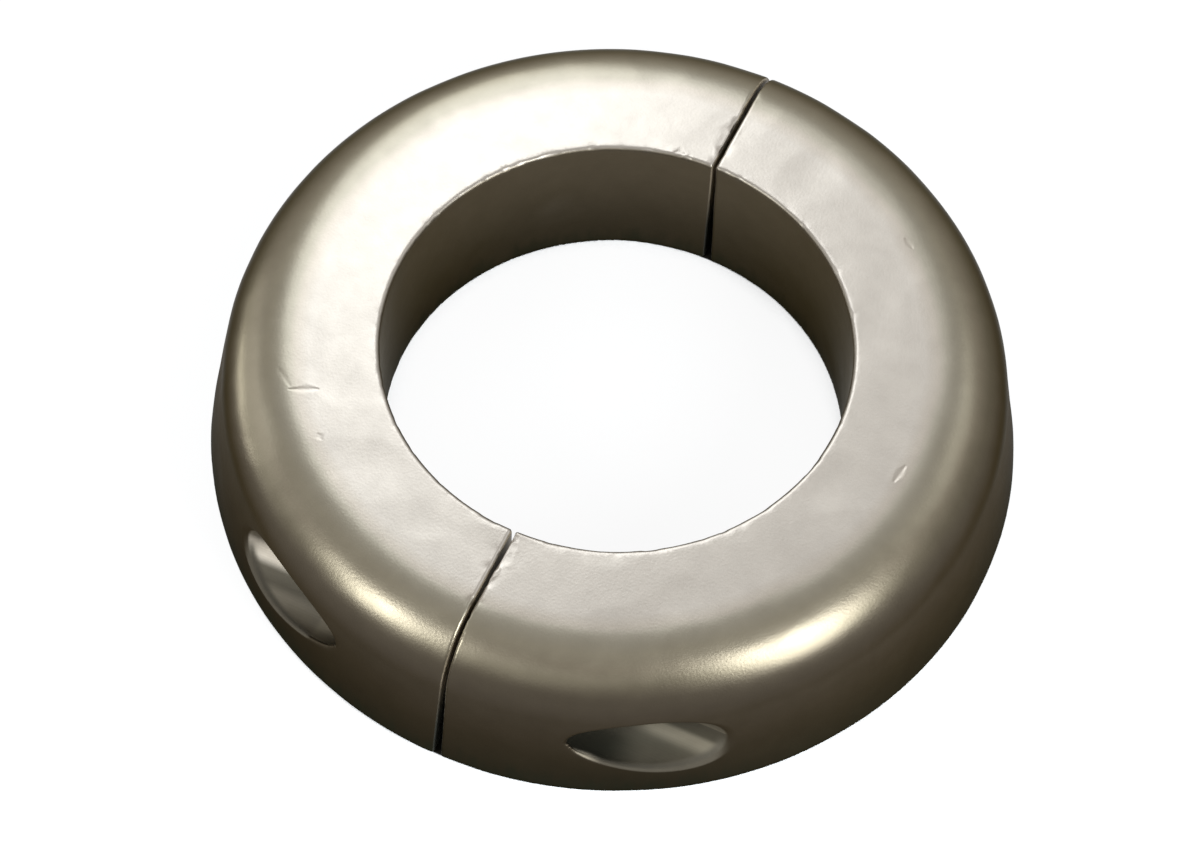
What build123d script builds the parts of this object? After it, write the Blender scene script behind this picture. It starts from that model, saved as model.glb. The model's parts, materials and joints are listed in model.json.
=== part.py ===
"""Clamp-on collar anode for a propeller shaft: two zinc castings drawn together by two screws."""

import math
import os

from build123d import *

# Driving dimensions, in millimetres and degrees. Z is the shaft's axis, the foot stands on
# Z = 0, and the halves part along the plane X = 0. The front is -Y.

# Collar
shaft_d = 60.0  # shaft that the collar clamps
ring_width = 22.7  # from the bore to the outside of the foot
height = 22.0
shoulder_r = 9.0  # large round from the top land to the outer wall
wall_flare = 9.0  # lean of the outer wall, which is wider at the foot
bore_edge_r = 0.6  # both rims of the bore
foot_edge_r = 1.0  # outer rim of the foot
split_gap = 0.5  # between the tops of the halves when they grip the shaft
split_draft = 0.7  # lean of each split face, which opens the gap towards the foot
arris_r = 0.3  # round on the outline of the split faces

# Clamp screws, M5 with socket heads
screw_d = 5.0
head_d = 8.5
head_h = 5.0
head_edge_r = 0.5
key_af = 4.0  # hexagon key, across flats
key_depth = 2.5
drill_land = 0.1  # between the flats of the socket and the cone at its bottom
drill_angle = 60.0  # of that cone, between its axis and its side
thread_end = 1.3  # how far the screw stands out of its nut
tip_chamfer = 0.6

# Hexagon nuts, M5
nut_af = 8.0
nut_h = 4.7
nut_land = 0.2  # between the flats and the round end faces
nut_lean = 30.0  # of the cones that trim the corners
nut_countersink = 0.4
thread_play = 0.03  # radial, between the screw and the nut

# Seats of the screws and nuts in the castings
bolt_inset = 9.4  # from the outside of the foot to the screw's axis
bolt_height = 9.5  # from the foot to the screw's axis
web = 9.25  # zinc between a split face and the seat of the head or nut
hole_clearance = 0.25  # radial, round the screw
head_clearance = 0.45  # radial, round the head
nut_clearance = 0.05  # beside each flat of the nut
recess_extra = 0.3  # how far the nut's recess is deeper than the nut
lip_r = 0.4  # round on the mouths of the pockets

# Sizes that follow
bore_r = shaft_d / 2
foot_r = bore_r + ring_width
wall_top_r = foot_r - height * math.tan(math.radians(wall_flare))
bolt_y = foot_r - bolt_inset
seat_x = split_gap / 2 + web
screw_length = 2 * seat_x + nut_h + thread_end
recess_af = nut_af + 2 * nut_clearance
recess_end_x = seat_x + nut_h + recess_extra
hexagon_spread = 1 / math.cos(math.radians(30))  # width across corners over width across flats
pocket_d = max(head_d + 2 * head_clearance, recess_af * hexagon_spread)

# The split face of the right half.
draft = math.radians(split_draft)
split_plane = Plane(
    origin=(split_gap / 2, 0, height),
    x_dir=(0, 1, 0),
    z_dir=(math.cos(draft), 0, math.sin(draft)),
)

# The front screw's axis, and the plane through it that holds its profile and the nut's.
screw_axis = Axis((0, -bolt_y, bolt_height), (1, 0, 0))
head_seat = Plane(origin=(seat_x, -bolt_y, bolt_height), x_dir=(1, 0, 0), z_dir=(0, -1, 0))
nut_seat = Plane(origin=(-seat_x, -bolt_y, bolt_height), x_dir=(-1, 0, 0), z_dir=(0, 1, 0))


def hexagon(across_flats):
    """Adds a hexagon with two level flats to the sketch in use."""
    RegularPolygon(radius=across_flats / 2, side_count=6, major_radius=False)


def split_outlines(part):
    """The outlines of the two split faces."""
    faces = part.faces().filter_by(split_plane)
    return [edge for face in faces for edge in face.outer_wire().edges()]


def pocket_mouth(part):
    """The edges where the pocket just cut breaks out through the outer wall."""
    plain = (GeomType.LINE, GeomType.CIRCLE)
    return [edge for edge in part.edges(Select.LAST) if edge.geom_type not in plain]


# One casting, on the +X side. Its front pocket takes a screw's head, and its back one a nut.
with BuildPart() as half_right:
    with BuildSketch(Plane.XZ):
        with BuildLine():
            FilletPolyline(
                (bore_r, 0),
                (foot_r, 0),
                (wall_top_r, height),
                (bore_r, height),
                radius=(bore_edge_r, foot_edge_r, shoulder_r, bore_edge_r),
                close=True,
            )
        make_face()
    revolve(axis=Axis.Z)
    split(bisect_by=split_plane, keep=Keep.TOP)
    fillet(split_outlines(half_right), radius=arris_r)

    with BuildSketch(Plane.YZ):
        with Locations((-bolt_y, bolt_height), (bolt_y, bolt_height)):
            Circle(screw_d / 2 + hole_clearance)
    extrude(amount=seat_x, mode=Mode.SUBTRACT)

    with BuildSketch(Plane.YZ.offset(seat_x)):
        with Locations((bolt_y, bolt_height)):
            hexagon(recess_af)
    extrude(amount=recess_end_x - seat_x, mode=Mode.SUBTRACT)

    for floor_x, pocket_y in ((seat_x, -bolt_y), (recess_end_x, bolt_y)):
        with BuildSketch(Plane.YZ.offset(floor_x)):
            with Locations((pocket_y, bolt_height)):
                Circle(pocket_d / 2)
        extrude(amount=foot_r, mode=Mode.SUBTRACT)
        fillet(pocket_mouth(half_right), radius=lip_r)

# The other casting is the same one, turned half round the shaft.
with BuildPart() as half_left:
    add(half_right.part, rotation=(0, 0, 180))

# The front screw, its head in the right half.
with BuildPart() as screw_front:
    with BuildSketch(head_seat):
        with BuildLine():
            FilletPolyline(
                (-screw_length, 0),
                (-screw_length, screw_d / 2 - tip_chamfer),
                (tip_chamfer - screw_length, screw_d / 2),
                (0, screw_d / 2),
                (0, head_d / 2),
                (head_h, head_d / 2),
                (head_h, 0),
                radius=(0, 0, 0, 0, 0, head_edge_r, 0),
                close=True,
            )
        make_face()
    revolve(axis=screw_axis)

    with BuildSketch(Plane.YZ.offset(seat_x + head_h)):
        with Locations((-bolt_y, bolt_height)):
            hexagon(key_af)
    extrude(amount=-key_depth, mode=Mode.SUBTRACT)

    drill_r = key_af / 2 - drill_land
    socket_floor = head_h - key_depth
    with BuildSketch(head_seat):
        with BuildLine():
            Polyline(
                (socket_floor, 0),
                (socket_floor, drill_r),
                (socket_floor - drill_r / math.tan(math.radians(drill_angle)), 0),
                close=True,
            )
        make_face()
    revolve(axis=screw_axis, mode=Mode.SUBTRACT)

# The front nut, in the hexagonal recess of the left half.
with BuildPart() as nut_front:
    with BuildSketch(Plane.YZ.offset(-seat_x)):
        with Locations((-bolt_y, bolt_height)):
            hexagon(nut_af)
            Circle(screw_d / 2 + thread_play, mode=Mode.SUBTRACT)
    extrude(amount=-nut_h)

    end_r = nut_af / 2 - nut_land
    corner_r = nut_af / 2 * hexagon_spread
    corner_trim = (corner_r - end_r) * math.tan(math.radians(nut_lean))
    with BuildSketch(nut_seat):
        with BuildLine():
            Polyline(
                (0, 0),
                (0, end_r),
                (corner_trim, corner_r),
                (nut_h - corner_trim, corner_r),
                (nut_h, end_r),
                (nut_h, 0),
                close=True,
            )
        make_face()
    revolve(axis=screw_axis, mode=Mode.INTERSECT)
    hole_rims = nut_front.edges().filter_by(GeomType.CIRCLE).group_by(SortBy.RADIUS)[0]
    chamfer(hole_rims, length=nut_countersink)

# The back screw and nut are set from the other side.
with BuildPart() as screw_back:
    add(screw_front.part, rotation=(0, 0, 180))

with BuildPart() as nut_back:
    add(nut_front.part, rotation=(0, 0, 180))

pieces = {
    "collar_half_right": half_right,
    "collar_half_left": half_left,
    "clamp_screw_front": screw_front,
    "clamp_screw_back": screw_back,
    "clamp_nut_front": nut_front,
    "clamp_nut_back": nut_back,
}
os.makedirs("parts", exist_ok=True)
for name, piece in pieces.items():
    piece.part.label = name
    export_step(piece.part, f"parts/{name}.step")
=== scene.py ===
"""Finish, fasteners and studio for the clamp-on collar anode.

Sizes and places are in millimetres and degrees, in the frame of the solids: Z is the shaft's axis,
the foot stands on Z = 0, the castings part along X = 0, and the front is -Y. MM turns them into
metres where a mesh, a lamp or the camera is made.
"""

import json
import math

import bmesh
import bpy
import numpy as np
from mathutils import Matrix, Vector


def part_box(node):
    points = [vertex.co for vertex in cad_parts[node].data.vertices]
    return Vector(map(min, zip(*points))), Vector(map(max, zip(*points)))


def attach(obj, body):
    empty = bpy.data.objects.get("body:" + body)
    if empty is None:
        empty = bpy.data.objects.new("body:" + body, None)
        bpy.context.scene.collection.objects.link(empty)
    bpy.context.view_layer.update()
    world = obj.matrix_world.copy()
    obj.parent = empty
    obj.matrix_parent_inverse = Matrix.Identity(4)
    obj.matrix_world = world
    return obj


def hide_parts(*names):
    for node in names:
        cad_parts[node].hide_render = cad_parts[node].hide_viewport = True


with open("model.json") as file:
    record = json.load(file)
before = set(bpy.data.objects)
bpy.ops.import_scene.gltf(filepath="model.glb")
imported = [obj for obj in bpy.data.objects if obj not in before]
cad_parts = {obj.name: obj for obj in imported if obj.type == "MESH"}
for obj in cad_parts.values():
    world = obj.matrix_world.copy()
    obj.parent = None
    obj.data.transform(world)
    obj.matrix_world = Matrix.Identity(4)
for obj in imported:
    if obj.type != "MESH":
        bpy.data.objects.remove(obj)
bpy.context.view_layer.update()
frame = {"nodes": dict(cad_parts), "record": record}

MM = 0.001


# ---------------------------------------------------------------- sizes

def box_of(node):
    """A node's lowest and highest corner."""
    low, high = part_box(node)
    return np.array(low) / MM, np.array(high) / MM


# From the frame
mounts = {mount["name"]: mount for mount in frame["record"]["mounts"]}
screw_low, screw_high = box_of("clamp_screw_front")
nut_low, nut_high = box_of("clamp_nut_front")

BORE_R = mounts["shaft_bore"]["dims"]["r_mm"]
HEIGHT = box_of("collar_half_right")[1][2]
BOLT_Y = -(screw_low[1] + screw_high[1]) / 2
BOLT_Z = (screw_low[2] + screw_high[2]) / 2
SEAT_X = -nut_high[0]
NUT_AF = nut_high[2] - nut_low[2]
NUT_H = nut_high[0] - nut_low[0]
HEAD_R = (screw_high[2] - screw_low[2]) / 2
HEAD_TOP_X = screw_high[0]
SCREW_TIP_X = screw_low[0]

# The castings' section
FOOT_R = 52.7
WALL_FLARE = 9.0
SHOULDER_R = 9.0
BORE_EDGE_R = 0.6
FOOT_EDGE_R = 1.0
SPLIT_GAP = 0.5
SPLIT_DRAFT = 0.7
ARRIS_R = 0.3

# Seats in the castings
POCKET_R = 4.7
LIP_AT_X = [17.0, 20.5, 24.0, 29.0, 33.5]  # places along a pocket's mouth
LIP_RADII = [0.9, 0.7, 0.5, 0.5, 0.6]  # of the round on the mouth there
OVERRUN = 1.0  # of one cut into the next
HOLE_R = 2.75
HOLE_RIM_R = 0.3
RECESS_AF = NUT_AF + 0.1
RECESS_END_X = SEAT_X + NUT_H + 0.3

# Screws and nuts
THREAD_R = 2.5
THREAD_PITCH = 0.8
THREAD_DEPTH = 0.43
THREAD_FLANK = 1.35  # depths that the flank would rise over half a pitch
THREAD_ROOT = 0.12  # depths that the flat at the root cuts off that rise
THREAD_PLAY = 0.03
THREAD_STEPS = 8  # rings of points to one turn
THREAD_TIP = 0.25  # from the screw's end to its first thread
THREAD_RUNOUT = 0.6
SHANK_LENGTH = 1.6  # plain, under the head
SHANK_TAPER = 0.4
NECK_EDGE = 0.15
SMALL_EDGE = 0.2
HEAD_EDGE_R = 0.5
KNURLS = 32
KNURL_DEPTH = 0.12
KNURL_FROM_SEAT = 0.7
KNURL_FROM_TOP = 1.0
KEY_AF = 4.0
KEY_DEPTH = 2.5
KEY_MOUTH_DEPTH = 0.3
KEY_MOUTH_R = 2.4
KEY_MOUTH_MIDDLE_R = 2.28  # half way down the mouth
DRILL_R = 1.88
DRILL_DEPTH = 1.1
NUT_LAND = 0.2
NUT_LEAN = 30.0
NUT_TRIM = 0.55
NUT_COUNTERSINK = 0.4


# ---------------------------------------------------------------- the castings' surface

def turned(degrees):
    """The unit vector at that angle, counted from the first axis towards the second."""
    return np.array([math.cos(math.radians(degrees)), math.sin(math.radians(degrees))])


FLARE_ACROSS, FLARE_UP = turned(WALL_FLARE)
SHOULDER_Z = HEIGHT - SHOULDER_R
SHOULDER_X = FOOT_R - (SHOULDER_R + SHOULDER_Z * FLARE_UP) / FLARE_ACROSS

SECTION_NORMALS = [turned(180), turned(-90), turned(WALL_FLARE), turned(90)]
SECTION_POINTS = [(BORE_R, 0), (BORE_R, 0), (FOOT_R, 0), (BORE_R, HEIGHT)]
SECTION_ROUNDS = [BORE_EDGE_R, FOOT_EDGE_R, SHOULDER_R, BORE_EDGE_R]


def section_distance(radius, z):
    """Signed distance from the rounded section, negative in the zinc."""
    point = np.stack([radius, z], -1)
    reaches = [float(normal @ np.array(at)) for normal, at in zip(SECTION_NORMALS, SECTION_POINTS)]
    sides = [point @ normal - reach for normal, reach in zip(SECTION_NORMALS, reaches)]
    distance = np.max(sides, axis=0)
    for i, rounding in enumerate(SECTION_ROUNDS):
        following = (i + 1) % len(SECTION_NORMALS)
        normals = np.stack([SECTION_NORMALS[i], SECTION_NORMALS[following]])
        centre = np.linalg.solve(normals, [reaches[i] - rounding, reaches[following] - rounding])
        share = (point - centre) @ np.linalg.inv(normals)
        at_corner = (share > 0).all(-1)
        corner = np.linalg.norm(point - centre, axis=-1) - rounding
        distance = np.where(at_corner, corner, distance)
    return distance


def round_and(first, second, rounding):
    """What two solids share, with a round of that radius where their faces cross."""
    corner = np.hypot(np.maximum(first + rounding, 0), np.maximum(second + rounding, 0))
    return np.minimum(np.maximum(first, second), -rounding) + corner


def hexagon_distance(y, z, across_flats):
    """Signed distance from a hexagon with two level flats."""
    flats = [abs(y * turned(a)[0] + z * turned(a)[1]) for a in (30, 90, 150)]
    return np.max(flats, axis=0) - across_flats / 2


def casting_distance(points):
    """Signed distance from the right casting's surface, negative in the zinc."""
    x, y, z = points.T
    zinc = section_distance(np.hypot(x, y), z)
    draft_across, draft_up = turned(SPLIT_DRAFT)
    past_split = (x - SPLIT_GAP / 2) * draft_across - (HEIGHT - z) * draft_up
    zinc = round_and(zinc, -past_split, ARRIS_R)
    lip_r = np.interp(x, LIP_AT_X, LIP_RADII)
    for bolt_y, floor_x in ((-BOLT_Y, SEAT_X), (BOLT_Y, RECESS_END_X)):
        from_axis = np.hypot(y - bolt_y, z - BOLT_Z)
        pocket = np.maximum(from_axis - POCKET_R, floor_x - x)
        zinc = round_and(zinc, -pocket, lip_r)
        hole = np.maximum(from_axis - HOLE_R, x - floor_x - OVERRUN)
        zinc = round_and(zinc, -hole, HOLE_RIM_R)
    recess = np.maximum(hexagon_distance(y - BOLT_Y, z - BOLT_Z, RECESS_AF), SEAT_X - x)
    return np.maximum(zinc, -np.maximum(recess, x - RECESS_END_X - OVERRUN))


def outward(points, step=0.01):
    """The surface's unit normals."""
    slope = [casting_distance(points + a) - casting_distance(points - a) for a in np.eye(3) * step]
    slope = np.stack(slope, -1)
    return slope / (np.linalg.norm(slope, axis=1, keepdims=True) + 1e-9)


def settle(points, rounds=3, longest_move=0.5):
    """Moves points onto the surface."""
    for _ in range(rounds):
        reach = np.clip(casting_distance(points), -longest_move, longest_move)
        points = points - outward(points) * reach[:, None]
    return points


def waves(points, length, count, seed):
    """A smooth random field of about unit height, from waves in random directions."""
    random = np.random.default_rng(seed)
    directions = random.normal(size=(count, 3))
    directions /= np.linalg.norm(directions, axis=1, keepdims=True)
    turns = random.uniform(0.7, 1.4, count) * math.tau / length
    starts = random.uniform(0, math.tau, count)
    return np.sin(points @ (directions * turns[:, None]).T + starts).sum(1) / math.sqrt(count / 2)


# ---------------------------------------------------------------- meshes

def mesh_points(mesh):
    """A mesh's points, in millimetres."""
    flat = np.zeros(len(mesh.vertices) * 3)
    mesh.vertices.foreach_get("co", flat)
    return flat.reshape(-1, 3) / MM


def set_points(mesh, points):
    """Moves a mesh's points to places in millimetres."""
    mesh.vertices.foreach_set("co", (points * MM).ravel())
    mesh.update()


def new_piece(name, mesh, node, finish):
    """A piece that stands for a node and rides on the one body."""
    mesh.name = name
    mesh.shade_smooth()
    mesh.materials.clear()
    mesh.materials.append(finish)
    piece = bpy.data.objects.new(name, mesh)
    bpy.context.scene.collection.objects.link(piece)
    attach(piece, "root")
    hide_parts(node)
    return piece


def applied(mesh, kind, **settings):
    """A copy of a mesh with one modifier applied to it."""
    carrier = bpy.data.objects.new("carrier", mesh)
    bpy.context.scene.collection.objects.link(carrier)
    modifier = carrier.modifiers.new(kind.lower(), kind)
    for name, value in settings.items():
        setattr(modifier, name, value)
    done = carrier.evaluated_get(bpy.context.evaluated_depsgraph_get())
    result = bpy.data.meshes.new_from_object(done)
    bpy.data.objects.remove(carrier)
    return result


CELL = 0.49
RIM_REACH = 0.9
DETAIL_REACHES = [(4.2, 1.4), (2.7, 0.9)]  # round knocks in half widths, and round mouths
SKIN_WAVE = 11.0
SKIN_HEIGHT = 0.03
WAVE_COUNT = 24

# Knocks in the zinc: which casting, from where to where, half width and depth
KNOCKS = [
    ("left", (-37.2, -21.6, 21.7), (-34.4, -23.5, HEIGHT), 0.36, 0.018),
    ("left", (-34.2, -24.0, HEIGHT), (-31.0, -22.4, HEIGHT), 0.34, 0.045),
    ("left", (-28.0, -28.3, HEIGHT), (-27.3, -28.8, HEIGHT), 0.34, 0.03),
    ("left", (-0.3, 32.5, HEIGHT), (-0.3, 38.0, HEIGHT), 0.90, 0.06),
    ("left", (-5.5, 30.1, HEIGHT), (-4.4, 30.3, HEIGHT), 0.50, 0.07),
    ("right", (0.3, -31.2, HEIGHT), (0.3, -36.0, HEIGHT), 0.70, 0.12),
    ("right", (40.0, -0.8, HEIGHT), (39.6, -3.4, HEIGHT), 0.32, 0.05),
    ("right", (26.8, 30.6, HEIGHT), (28.2, 29.7, HEIGHT), 0.34, 0.04),
]
KNOCK_TIP = 0.35  # half width at the ends, as a share of the middle's
RAGGED_WAVE = 2.4
RAGGED_SHARE = 0.15
BURR_PLACE = 2.0  # from the knock's line, in half widths
BURR_WIDTH = 0.9
BURR_SHARE = 0.08

# Wear on the upper rims
RIM_WEAR = 0.07
WEAR_REACH = 0.7
WEAR_WAVE = 2.2
WEAR_FROM = 0.3
WEAR_MOST = 1.5


def from_line(points, start, end):
    """How far points are from a straight stretch, and where along it, from 0 to 1."""
    start, end = np.array(start), np.array(end)
    along = np.clip((points - start) @ (end - start) / ((end - start) @ (end - start)), 0, 1)
    return np.linalg.norm(points - start - along[:, None] * (end - start), axis=1), along


def knocked(points, knocks):
    """How deep the knocks are at each point. Each is a ragged leaf with a low burr round it."""
    depth = np.zeros(len(points))
    for seed, (_, start, end, half_width, deepest) in enumerate(knocks):
        away, along = from_line(points, start, end)
        width = half_width * (KNOCK_TIP + (1 - KNOCK_TIP) * np.sin(math.pi * along))
        width = width * (1 + RAGGED_SHARE * waves(points, RAGGED_WAVE, 8, seed))
        dent = np.exp(-(away / width) ** 2)
        burr = np.exp(-((away / width - BURR_PLACE) / BURR_WIDTH) ** 2)
        depth += deepest * (dent - BURR_SHARE * burr)
    return depth


def worn(points, seed):
    """How deep the wear is on the upper rims of the bore and of the split."""
    x, y, z = points.T
    from_bore = np.hypot(np.hypot(x, y) - BORE_R, z - HEIGHT)
    from_split = np.hypot(abs(x) - SPLIT_GAP / 2, z - HEIGHT)
    at_rim = np.exp(-(np.minimum(from_bore, from_split) / WEAR_REACH) ** 2)
    patches = waves(points, WEAR_WAVE, WAVE_COUNT, seed) - WEAR_FROM
    return RIM_WEAR * at_rim * np.clip(patches, 0, WEAR_MOST)


def near_knocks(points, knocks, reach):
    """Which points lie within that many half widths of a knock."""
    near = np.zeros(len(points), bool)
    for _, start, end, half_width, _ in knocks:
        near |= from_line(points, start, end)[0] < half_width * reach
    return near


def near_mouths(points, reach):
    """Which points of the right casting lie near the edge of a pocket's mouth."""
    x, y, z = points.T
    from_wall = abs(np.hypot(abs(y) - BOLT_Y, z - BOLT_Z) - POCKET_R)
    from_skin = abs(section_distance(np.hypot(x, y), z))
    return (from_wall < reach) & (from_skin < reach) & (x > SEAT_X)


def near_rims(points, reach):
    """Which points of the right casting lie near the outline of a split face or a bore's rim."""
    x, y, z = points.T
    from_skin = abs(section_distance(np.hypot(x, y), z))
    at_split = (x < SPLIT_GAP / 2 + reach) & (from_skin < reach)
    return at_split | (np.hypot(np.hypot(x, y) - BORE_R, z - HEIGHT) < reach)


def refined(mesh, chosen):
    """A mesh with its edges halved where their middles are chosen."""
    work = bmesh.new()
    work.from_mesh(mesh)
    middles = np.array([(edge.verts[0].co + edge.verts[1].co) / 2 for edge in work.edges]) / MM
    edges = [edge for edge, near in zip(work.edges, chosen(middles)) if near]
    bmesh.ops.subdivide_edges(work, edges=edges, cuts=1, use_grid_fill=True)
    work.to_mesh(mesh)
    work.free()
    return mesh


def casting(hand, node, seed, finish):
    """One casting as an even skin of small faces, settled on its true form. The left one is
    the right one turned half round the shaft."""
    turn = np.array([1, 1, 1]) if hand == "right" else np.array([-1, -1, 1])
    knocks = [knock for knock in KNOCKS if knock[0] == hand]
    mesh = applied(frame["nodes"][node].data.copy(), "WELD", merge_threshold=0.001 * MM)
    mesh = applied(mesh, "REMESH", mode="VOXEL", voxel_size=CELL * MM)
    for _ in range(3):
        set_points(mesh, settle(mesh_points(mesh) * turn) * turn)
        mesh = applied(mesh, "SMOOTH", factor=0.5, iterations=2)
    mesh = refined(mesh, lambda p: near_rims(p * turn, RIM_REACH))
    for knock_reach, mouth_reach in DETAIL_REACHES:
        mesh = refined(mesh, lambda p: near_knocks(p, knocks, knock_reach)
                       | near_mouths(p * turn, mouth_reach))
        set_points(mesh, settle(mesh_points(mesh) * turn) * turn)
        mesh = applied(mesh, "SMOOTH", factor=0.3, iterations=1)
    points = settle(mesh_points(mesh) * turn)
    sink = SKIN_HEIGHT * np.minimum(waves(points, SKIN_WAVE, WAVE_COUNT, seed), 0)
    sink -= knocked(points * turn, knocks) + worn(points, seed)
    points = points + outward(points) * sink[:, None]
    set_points(mesh, points * turn)
    return new_piece("casting_" + hand, mesh, node, finish)


def lofted(rings):
    """A closed mesh through rings of points, which all have the same count. A ring of one
    place closes an end."""
    count = len(rings[0])
    points = np.concatenate(rings)
    faces = []
    for i in range(len(rings) - 1):
        for j in range(count):
            following = (j + 1) % count
            faces.append((i * count + j, i * count + following,
                          (i + 1) * count + following, (i + 1) * count + j))
    mesh = bpy.data.meshes.new("loft")
    mesh.from_pydata([tuple(p) for p in points * MM], [], faces)
    mesh = applied(mesh, "WELD", merge_threshold=0.0005 * MM)
    return mesh


RING_POINTS = 128
RING_ANGLES = np.arange(RING_POINTS) * math.tau / RING_POINTS


def hexagon_radius(across_flats):
    """A hexagon's radius round the ring, with two level flats."""
    side = math.radians(60)
    from_flat = RING_ANGLES % side - side / 2
    return across_flats / 2 / np.cos(from_flat)


def thread_radius(x, root_radius, crest_radius):
    """A screw thread's radius round the ring at a place along its axis."""
    turn = (x / THREAD_PITCH + RING_ANGLES / math.tau) % 1
    flank = np.clip(abs(turn - 0.5) * 2 * THREAD_FLANK - THREAD_ROOT, 0, 1)
    return root_radius + (crest_radius - root_radius) * flank


def ring(x, radius, side):
    """One ring round a screw's axis: side is 1 for the front screw and -1 for the back one."""
    radius = np.broadcast_to(radius, RING_ANGLES.shape)
    y = -BOLT_Y + radius * np.cos(RING_ANGLES)
    z = BOLT_Z + radius * np.sin(RING_ANGLES)
    return np.stack([np.full(RING_POINTS, x) * side, y * side, z], -1)


def socket_screw(name, node, side, finish):
    """A socket head screw with its thread, knurled head and hexagon socket."""
    crest, root = THREAD_R, THREAD_R - THREAD_DEPTH
    thread_end = SEAT_X - SHANK_LENGTH
    profile = [(SCREW_TIP_X, 0.0), (SCREW_TIP_X, root - SMALL_EDGE)]
    for x in np.arange(SCREW_TIP_X + THREAD_TIP, thread_end, THREAD_PITCH / THREAD_STEPS):
        from_end = min(x - SCREW_TIP_X, thread_end - x)
        rim = root + (crest - root) * min(from_end / THREAD_RUNOUT, 1)
        profile.append((x, np.minimum(thread_radius(x, root, crest), rim)))
    profile += [(thread_end, root), (thread_end + SHANK_TAPER, crest)]
    profile += [(SEAT_X - NECK_EDGE, crest), (SEAT_X, crest + NECK_EDGE)]
    profile += [(SEAT_X, HEAD_R - SMALL_EDGE), (SEAT_X + SMALL_EDGE, HEAD_R)]
    knurl = KNURL_DEPTH * (0.5 - 0.5 * np.cos(RING_ANGLES * KNURLS))
    knurl_start, knurl_end = SEAT_X + KNURL_FROM_SEAT, HEAD_TOP_X - KNURL_FROM_TOP
    profile += [(knurl_start - SMALL_EDGE, HEAD_R), (knurl_start, HEAD_R - knurl)]
    profile += [(knurl_end, HEAD_R - knurl), (knurl_end + SMALL_EDGE, HEAD_R)]
    for a in np.linspace(0, 90, 7):
        across, along = turned(a) * HEAD_EDGE_R
        profile.append((HEAD_TOP_X - HEAD_EDGE_R + along, HEAD_R - HEAD_EDGE_R + across))
    key = hexagon_radius(KEY_AF)
    key_floor = HEAD_TOP_X - KEY_DEPTH
    profile.append((HEAD_TOP_X, KEY_MOUTH_R))
    profile.append((HEAD_TOP_X - KEY_MOUTH_DEPTH / 2, np.minimum(key, KEY_MOUTH_MIDDLE_R)))
    profile += [(HEAD_TOP_X - KEY_MOUTH_DEPTH, key), (key_floor, key)]
    profile += [(key_floor, DRILL_R), (key_floor - DRILL_DEPTH, 0.0)]
    mesh = lofted([ring(x, radius, side) for x, radius in profile])
    return new_piece(name, mesh, node, finish)


def hex_nut(name, node, side, finish):
    """A chamfered hexagon nut with countersunk ends and a thread that fits its screw."""
    crest, root = THREAD_R + THREAD_PLAY, THREAD_R - THREAD_DEPTH + THREAD_PLAY
    far, near = -SEAT_X - NUT_H, -SEAT_X
    lean = math.tan(math.radians(NUT_LEAN))
    flats = hexagon_radius(NUT_AF)
    end_r = NUT_AF / 2 - NUT_LAND
    profile = []
    for inset in np.linspace(0, NUT_TRIM, 9):
        profile.append((near - inset, np.minimum(flats, end_r + inset / lean)))
    for inset in np.linspace(NUT_TRIM, 0, 9):
        profile.append((far + inset, np.minimum(flats, end_r + inset / lean)))
    for x in np.arange(far, near, THREAD_PITCH / THREAD_STEPS):
        countersink = crest + NUT_COUNTERSINK - min(x - far, near - x)
        profile.append((x, np.maximum(thread_radius(x, root, crest), countersink)))
    profile.append((near, crest + NUT_COUNTERSINK))
    profile.append(profile[0])
    mesh = lofted([ring(x, radius, side) for x, radius in profile])
    return new_piece(name, mesh, node, finish)


# ---------------------------------------------------------------- finishes

class Value:
    """A socket of a finish's nodes. Sums of values add their Math nodes."""

    def __init__(self, finish, socket):
        self.finish = finish
        self.socket = socket

    def __add__(self, other):
        return self.finish.maths("ADD", self, other)

    def __radd__(self, other):
        return self.finish.maths("ADD", other, self)

    def __sub__(self, other):
        return self.finish.maths("SUBTRACT", self, other)

    def __rsub__(self, other):
        return self.finish.maths("SUBTRACT", other, self)

    def __mul__(self, other):
        return self.finish.maths("MULTIPLY", self, other)

    def __rmul__(self, other):
        return self.finish.maths("MULTIPLY", other, self)

    def __truediv__(self, other):
        return self.finish.maths("DIVIDE", self, other)

    def __pow__(self, other):
        return self.finish.maths("POWER", self, other)


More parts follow.
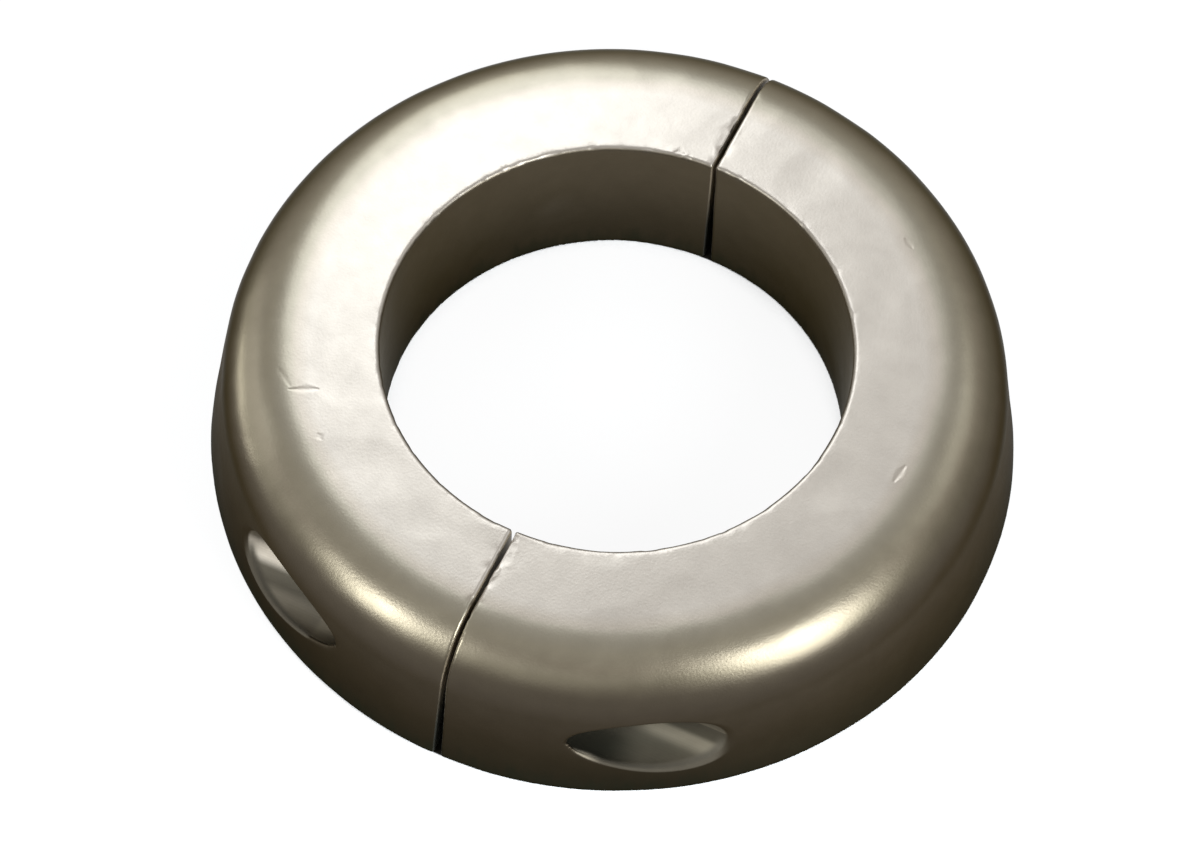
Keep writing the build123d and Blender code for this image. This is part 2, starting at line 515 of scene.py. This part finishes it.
class Finish:
    """A surface finish under construction."""

    def __init__(self, owner):
        owner.use_nodes = True
        self.owner = owner
        self.tree = owner.node_tree
        self.tree.nodes.clear()

    def node(self, kind, settings=None, sockets=None, output=0):
        """Adds a node: its settings come first, then the values or links of its sockets."""
        node = self.tree.nodes.new("ShaderNode" + kind)
        for name, value in (settings or {}).items():
            if name == "stops":
                ramp = node.color_ramp
                for place, colour in value:
                    stop = ramp.elements.new(place)
                    stop.color = colour
                ramp.elements.remove(ramp.elements[-1])
                ramp.elements.remove(ramp.elements[0])
            else:
                setattr(node, name, value)
        for name, value in (sockets or {}).items():
            if isinstance(value, Value):
                self.tree.links.new(value.socket, node.inputs[name])
            else:
                node.inputs[name].default_value = value
        return Value(self, node.outputs[output]) if node.outputs else None

    def maths(self, operation, *values):
        """One step of arithmetic on values and numbers."""
        return self.node("Math", {"operation": operation}, dict(enumerate(values)))

    def place(self):
        """Where a point of the surface is, in the object's own frame, in millimetres."""
        metres = self.node("TexCoord", output="Object")
        return self.node("VectorMath", {"operation": "SCALE"}, {0: metres, "Scale": 1 / MM})

    def axes(self, place):
        """The three coordinates of a place."""
        split = self.node("SeparateXYZ", sockets={0: place})
        outputs = split.socket.node.outputs
        return [Value(self, outputs[name]) for name in "XYZ"]

    def grain(self, place, length, detail=2.0, roughness=0.5):
        """Noise from 0 to 1 whose lumps are about that long."""
        sockets = {"Vector": place, "Scale": 1 / length, "Detail": detail, "Roughness": roughness}
        return self.node("TexNoise", sockets=sockets)

    def fade(self, value, start, end):
        """A mask that goes from 0 to 1 as a value goes from start to end."""
        sockets = {"Value": value, "From Min": start, "From Max": end}
        return self.node("MapRange", {"interpolation_type": "SMOOTHSTEP"}, sockets)

    def blend(self, mask, first, second, kind="MIX"):
        """Two colours mixed by a mask."""
        return self.node("Mix", {"data_type": "RGBA", "blend_type": kind},
                         {0: mask, 6: first, 7: second}, output=2)


def paint(red, green, blue):
    """A colour as it is shown, from 0 to 255, as the shader needs it."""
    shown = [channel / 255 for channel in (red, green, blue)]
    linear = [c / 12.92 if c <= 0.04045 else ((c + 0.055) / 1.055) ** 2.4 for c in shown]
    return (*linear, 1.0)


# The outside's colours round the shoulder: under 0 degrees on the land, 0 to 81 on the
# shoulder, and more on the wall. Besides a worn, lighter land and a browner cast skin, the steps
# down the shoulder and wall are painted shade, darker the further the surface turns from straight
# up.
SKIN_COLOURS = [
    (-16, (159, 152, 143)),
    (-6, (151, 143, 132)),
    (1, (136, 130, 117)),
    (8, (131, 125, 111)),
    (18, (124, 117, 101)),
    (30, (109, 101, 86)),
    (42, (91, 84, 70)),
    (55, (78, 71, 60)),
    (70, (71, 64, 54)),
    (84, (66, 59, 49)),
    (108, (59, 52, 42)),
    (124, (52, 46, 36)),
    (137, (44, 40, 31)),
    (160, (70, 66, 56)),
]


def lean_of(finish, place, radius, z):
    """The angle round the shoulder's centre from straight up, with a wandering edge."""
    wander = (finish.grain(place, 9.0) - 0.5) * 9.0
    angle = finish.maths("ARCTAN2", radius - SHOULDER_X, z - SHOULDER_Z)
    return angle * (180 / math.pi) + wander


def outer_skin(finish, lean):
    """The colour of the land, the shoulder and the outer wall, with painted shade that darkens them
    down from the land.
    """
    stops = [((degrees + 180) / 360, paint(*shown)) for degrees, shown in SKIN_COLOURS]
    return finish.node("ValToRGB", {"stops": stops}, {0: (lean + 180.0) / 360.0})


def darkened_foot(finish, skin, place, z, to_right):
    """A skin with darker ragged streaks that rise from the foot, weaker on the right, as part of
    the painted light on that side.
    """
    drawn_up = finish.node("VectorMath", {"operation": "MULTIPLY"}, {0: place, 1: (1, 1, 0.3)})
    ragged = finish.grain(drawn_up, 1.5, detail=3.0)
    foot_streaks = finish.fade(z + ragged * 7.0, 7.5, 3.5)
    return finish.blend(foot_streaks * (0.6 - to_right * 0.5), skin, paint(38, 40, 32))


def pocket_wall(finish, from_split, round_bolt, for_nut, open_end):
    """The colour in a pocket, by the angle round its axis. Its tones are painted light and shade:
    duller below, a painted glint along its inner, lower corner, painted shade where a head's
    pocket is deep, and painted light in a nut's pocket, most of all at its closed end."""
    # Painted shade: a head's pocket darkens towards the split, where it is deep.
    head_wall = finish.blend(
        finish.fade(from_split, 19.0, 25.0), paint(58, 58, 48), paint(108, 101, 86))
    # Painted light: a nut's pocket is painted pale against its own shade.
    wall = finish.blend(for_nut, head_wall, paint(156, 147, 130))
    # Tones on the lower side, set to the shading there: painted light and shade.
    high_up = finish.fade(round_bolt, -147.0, -159.0)
    low_wall = finish.blend(high_up, paint(84, 79, 67), paint(70, 66, 55))
    low_wall = finish.blend(for_nut, low_wall, paint(92, 86, 74))
    wall = finish.blend(finish.fade(round_bolt, -94.0, -114.0), wall, low_wall)
    # Painted light at the closed end of a nut's pocket.
    wall = finish.blend(open_end, paint(178, 168, 148), wall)
    # A painted glint along the inner, lower corner.
    glint_start = for_nut * -12.0 - 117.0
    glint_end = for_nut * -19.0 - 144.0
    painted_glint = finish.fade(round_bolt, glint_start, glint_start - 19.0)
    painted_glint = painted_glint * finish.fade(round_bolt, glint_end - 11.0 - for_nut * 16.0, glint_end)
    painted_glint = painted_glint * finish.maths("MAXIMUM", for_nut, finish.fade(from_split, 19.5, 24.5))
    painted_glint_colour = finish.blend(for_nut, paint(132, 124, 107), paint(245, 233, 214))
    return finish.blend(painted_glint * open_end, wall, painted_glint_colour)


def with_pockets(finish, skin, x, y, z, radius):
    """A skin with the pockets' walls and their lips, with a painted highlight along the lower lips,
    lighter at the tip of a head's pocket by the split. Also gives the masks of the pockets and of
    those lips."""
    from_bolt_y = finish.maths("ABSOLUTE", y) - BOLT_Y
    from_bolt_z = z - BOLT_Z
    from_bolt = (from_bolt_y * from_bolt_y + from_bolt_z * from_bolt_z) ** 0.5
    round_bolt = finish.maths("ARCTAN2", from_bolt_z, from_bolt_y) * (180 / math.pi)
    from_split = finish.maths("ABSOLUTE", x)
    for_nut = finish.fade(x * y, -1.0, 1.0)
    in_pocket = finish.fade(from_bolt, POCKET_R + 0.1, POCKET_R - 0.1)
    open_end = 1.0 - for_nut * finish.fade(from_split, 21.0, 20.0)
    wall = pocket_wall(finish, from_split, round_bolt, for_nut, open_end)
    skin = finish.blend(in_pocket, skin, wall)

    on_lip = finish.fade(from_bolt, POCKET_R + 0.6, POCKET_R + 0.3)
    below = finish.fade(from_bolt_z, -0.5, -2.5)
    at_tip = finish.fade(from_split, 20.5, 17.5) * (1.0 - for_nut)
    from_skin = radius + z * math.tan(math.radians(WALL_FLARE)) - FOOT_R
    shallow = finish.fade(from_skin, at_tip * -0.9 - 1.3, at_tip * -0.5 - 0.5)
    at_lip = on_lip * below * shallow * open_end * finish.fade(from_split, 34.0, 32.0)
    # Painted highlight on the lower lip, lighter at the tip by the split.
    lip_highlight = finish.blend(at_tip, paint(90, 84, 73), paint(168, 158, 140))
    return finish.blend(at_lip, skin, lip_highlight), in_pocket, at_lip


def with_split(finish, skin, x, z):
    """A skin with dull split faces, painted lighter near the top and darker towards the foot as
    painted light and shade in the gap. Also gives their mask.
    """
    split_lean = math.tan(math.radians(SPLIT_DRAFT))
    from_middle = finish.maths("ABSOLUTE", x) - (HEIGHT - z) * split_lean
    in_split = finish.fade(from_middle, SPLIT_GAP / 2 + 0.17, SPLIT_GAP / 2 + 0.02)
    # Painted light and shade in the gap: lighter near the top, darker towards the foot.
    face = finish.blend(finish.fade(z, 6.0, 19.0), paint(48, 48, 42), paint(140, 127, 106))
    return finish.blend(in_split, skin, face), in_split


def cast_zinc():
    """Satin zinc: a bright worn land and a browner cast skin, with painted shade that darkens the
    skin down the shoulder and outer wall, and painted light and shade in the bore, pockets and
    split.
    """
    finish = Finish(bpy.data.materials.new("cast_zinc"))
    place = finish.place()
    x, y, z = finish.axes(place)
    radius = (x * x + y * y) ** 0.5
    lean = lean_of(finish, place, radius, z)
    to_right = finish.fade(x, 25.0, 48.0) * finish.fade(y, 22.0, 4.0)

    in_bore = finish.fade(radius, BORE_R + 0.55, BORE_R + 0.05)
    # Painted shade: the bore darkens towards the foot, where it is deep.
    bore = finish.blend(finish.fade(z, 0.0, HEIGHT), paint(52, 47, 38), paint(84, 76, 63))
    skin = finish.blend(in_bore, outer_skin(finish, lean), bore)
    skin = darkened_foot(finish, skin, place, z, to_right)
    skin, in_pocket, at_lip = with_pockets(finish, skin, x, y, z, radius)
    skin, in_split = with_split(finish, skin, x, z)
    mottle = finish.grain(place, 3.0, detail=5.0, roughness=0.6) * 0.22 + 0.89
    # Painted light: the lower wall on the right side is made paler.
    painted_light_right = finish.fade(lean, 60.0, 90.0) * to_right * 0.25 + 1.0
    grey = mottle * painted_light_right
    grey = finish.node("CombineColor", sockets={0: grey, 1: grey, 2: grey})
    colour = finish.blend(1.0, skin, grey, "MULTIPLY")

    on_land = finish.fade(lean, 6.0, -10.0)
    on_wall = finish.fade(lean, 66.0, 90.0)
    rough = finish.grain(place, 2.2, detail=3.0) * 0.08 + 0.27
    rough = rough + on_land * 0.01 + on_wall * 0.22
    rough = rough + in_bore * 0.12 + in_pocket * 0.20 + at_lip * 0.35
    metal = 1.0 - in_pocket * 0.6 - in_split * 0.6
    fine = finish.grain(place, 0.35, detail=3.0)
    bump = finish.node("Bump", sockets={"Strength": 0.25, "Distance": 0.05 * MM, "Height": fine})
    shader = finish.node("BsdfPrincipled", sockets={
        "Base Color": colour, "Roughness": rough, "Metallic": metal, "Normal": bump,
        "Specular Tint": (0.39, 0.385, 0.365, 1)})
    finish.node("OutputMaterial", sockets={"Surface": shader})
    return finish.owner


def stainless():
    """Turned stainless steel for the screws and nuts."""
    finish = Finish(bpy.data.materials.new("stainless"))
    place = finish.place()
    stretched = finish.node("VectorMath", {"operation": "MULTIPLY"}, {0: place, 1: (6.0, 1.0, 1.0)})
    turning = finish.grain(stretched, 1.5, detail=4.0)
    rough = turning * 0.14 + 0.22
    mottle = finish.grain(place, 2.5)
    colour = finish.blend(mottle, paint(176, 174, 168), paint(204, 202, 197))
    bump = finish.node("Bump", sockets={"Strength": 0.2, "Distance": 0.03 * MM, "Height": turning})
    shader = finish.node("BsdfPrincipled", sockets={
        "Base Color": colour, "Roughness": rough, "Metallic": 1.0, "Normal": bump})
    finish.node("OutputMaterial", sockets={"Surface": shader})
    return finish.owner


def white_to_viewer(finish):
    """A mask of the rays that look at the studio, straight or by way of metal or glass."""
    outputs = finish.node("LightPath").socket.node.outputs
    names = ("Is Camera Ray", "Is Glossy Ray", "Is Transmission Ray")
    camera, glossy, transmission = [Value(finish, outputs[name]) for name in names]
    return finish.maths("MAXIMUM", finish.maths("MAXIMUM", camera, glossy), transmission)


# ---------------------------------------------------------------- studio

FLOOR_SIZE = 6000.0
FLOOR_LIFT = 0.9
FLOOR_COLOUR = (0.95, 0.93, 0.90, 1)
PAINTED_SPLIT_SHADOW = (0.014, 0.012, 0.009, 1)
UNDER_SPLIT = 1.2  # half the width of the painted shadow strip under the split
CREVICE = 12.0
WORLD_LIGHT = 0.42
LAMP_COLOUR = (0.86, 0.93, 1.0)


def lay_floor():
    """A plain white floor, which keeps a soft shadow, with a painted shadow under the split."""
    finish = Finish(bpy.data.materials.new("studio_floor"))
    x, y, _ = finish.axes(finish.place())
    radius = (x * x + y * y) ** 0.5
    past_bore = finish.fade(radius, BORE_R + 0.15, BORE_R + 0.35)
    in_foot = finish.fade(radius, FOOT_R - 0.5, FOOT_R - 0.7)
    in_split = finish.fade(finish.maths("ABSOLUTE", x), UNDER_SPLIT, UNDER_SPLIT - 0.2)
    # A painted shadow on the floor under the split, between the bore and the foot.
    dark = past_bore * in_foot * in_split
    shade = finish.blend(dark, FLOOR_COLOUR, PAINTED_SPLIT_SHADOW)
    card = finish.node("BsdfDiffuse", sockets={"Color": shade})
    glow = finish.node("Emission", sockets={"Color": (1, 1, 1, 1), "Strength": 1.0})
    open_floor = finish.node("AmbientOcclusion", sockets={"Distance": CREVICE * MM}, output="AO")
    lift = finish.fade(open_floor, 0.3, 0.52) * (1.0 - dark) * FLOOR_LIFT
    lift = white_to_viewer(finish) * lift
    mixed = finish.node("MixShader", sockets={0: lift, 1: card, 2: glow})
    finish.node("OutputMaterial", sockets={"Surface": mixed})
    half = FLOOR_SIZE / 2 * MM
    mesh = bpy.data.meshes.new("studio_floor")
    mesh.from_pydata([(-half, -half, 0), (half, -half, 0), (half, half, 0), (-half, half, 0)],
                     [], [(0, 1, 2, 3)])
    mesh.materials.append(finish.owner)
    floor = bpy.data.objects.new("studio_floor", mesh)
    bpy.context.scene.collection.objects.link(floor)


def light_world():
    """Even light from all round, on a white ground."""
    world = bpy.data.worlds.new("studio_world")
    bpy.context.scene.world = world
    finish = Finish(world)
    seen = white_to_viewer(finish)
    strength = seen * (1 - WORLD_LIGHT) + WORLD_LIGHT
    glow = finish.node("Background", sockets={"Color": (1, 1, 1, 1), "Strength": strength})
    finish.node("OutputWorld", sockets={"Surface": glow})


VIEW_AZIMUTH, VIEW_ELEVATION, VIEW_ROLL = 23.0, 58.92, 2.27
VIEW_DISTANCE = 549.2
LENS, SENSOR = 125.61, 36.0
IMAGE_WIDTH = 1200
CENTRE_RIGHT, CENTRE_DOWN = 12.78, 0.98


def view_axes():
    """The camera's right, up and back directions."""
    azimuth, elevation, roll = (math.radians(a) for a in (VIEW_AZIMUTH, VIEW_ELEVATION, VIEW_ROLL))
    back = Vector((math.sin(azimuth) * math.cos(elevation),
                   -math.cos(azimuth) * math.cos(elevation), math.sin(elevation)))
    level = Vector((math.cos(azimuth), math.sin(azimuth), 0))
    upright = back.cross(level)
    right = level * math.cos(roll) + upright * math.sin(roll)
    up = upright * math.cos(roll) - level * math.sin(roll)
    return right, up, back


def view_place():
    """Where the camera is. It sees the middle of the foot a little right of the image's centre."""
    right, up, back = view_axes()
    focal = LENS / SENSOR * IMAGE_WIDTH
    aim = (up * CENTRE_DOWN - right * CENTRE_RIGHT) * (VIEW_DISTANCE / focal)
    return aim + back * VIEW_DISTANCE


def set_camera():
    """A camera in the view's place."""
    data = bpy.data.cameras.new("camera")
    data.lens, data.sensor_width, data.sensor_fit = LENS, SENSOR, "HORIZONTAL"
    data.clip_start, data.clip_end = 10 * MM, 20000 * MM
    camera = bpy.data.objects.new("camera", data)
    axes = Matrix(view_axes()).transposed()
    camera.matrix_world = Matrix.Translation(view_place() * MM) @ axes.to_4x4()
    bpy.context.scene.collection.objects.link(camera)
    bpy.context.scene.camera = camera


def hang_lamp(name, azimuth, lean, distance, width, height, radiance, past_shoulder=0.0):
    """A soft lamp whose light is mirrored to the camera from one place of the shoulder. The lean
    is 0 where the shoulder meets the land, and the place may be moved out from there."""
    out = Vector((*turned(azimuth), 0))
    normal = out * math.sin(math.radians(lean)) + Vector((0, 0, math.cos(math.radians(lean))))
    spot = out * (SHOULDER_X + past_shoulder) + Vector((0, 0, SHOULDER_Z)) + normal * SHOULDER_R
    seen = (view_place() - spot).normalized()
    away = normal * (2 * normal.dot(seen)) - seen
    data = bpy.data.lights.new(name, "AREA")
    data.shape = "ELLIPSE"
    data.size, data.size_y = width * MM, height * MM
    data.color = LAMP_COLOUR
    area = math.pi / 4 * data.size * data.size_y
    data.energy = 4 * area * radiance
    lamp = bpy.data.objects.new(name, data)
    lamp.location = (spot + away * distance) * MM
    lamp.rotation_mode = "QUATERNION"
    lamp.rotation_quaternion = away.to_track_quat("Z", "Y")
    lamp.visible_camera = False
    bpy.context.scene.collection.objects.link(lamp)


# ---------------------------------------------------------------- the whole

zinc = cast_zinc()
steel = stainless()
casting("right", "collar_half_right", 3, zinc)
casting("left", "collar_half_left", 8, zinc)
socket_screw("socket_screw_front", "clamp_screw_front", 1, steel)
socket_screw("socket_screw_back", "clamp_screw_back", -1, steel)
hex_nut("hex_nut_front", "clamp_nut_front", 1, steel)
hex_nut("hex_nut_back", "clamp_nut_back", -1, steel)

lay_floor()
light_world()
set_camera()
hang_lamp("key_back_left", 147, 4.5, 230, 130, 235, 2.6)
hang_lamp("soft_back", 76, 0, 420, 170, 220, 0.8, past_shoulder=8.5)
hang_lamp("soft_left", 214, 43, 420, 360, 560, 1.3)
hang_lamp("soft_right", 8, 22, 420, 220, 160, 1.1)
hang_lamp("fill_front", 278, 40, 420, 420, 220, 0.9)
hang_lamp("glint_right", 323, 39, 500, 230, 400, 16.0)
hang_lamp("glint_left", 257, 38.5, 500, 140, 250, 18.0)
hang_lamp("glint_far_left", 212, 45, 500, 200, 50, 15.0)

bpy.context.scene.view_settings.view_transform = "Standard"
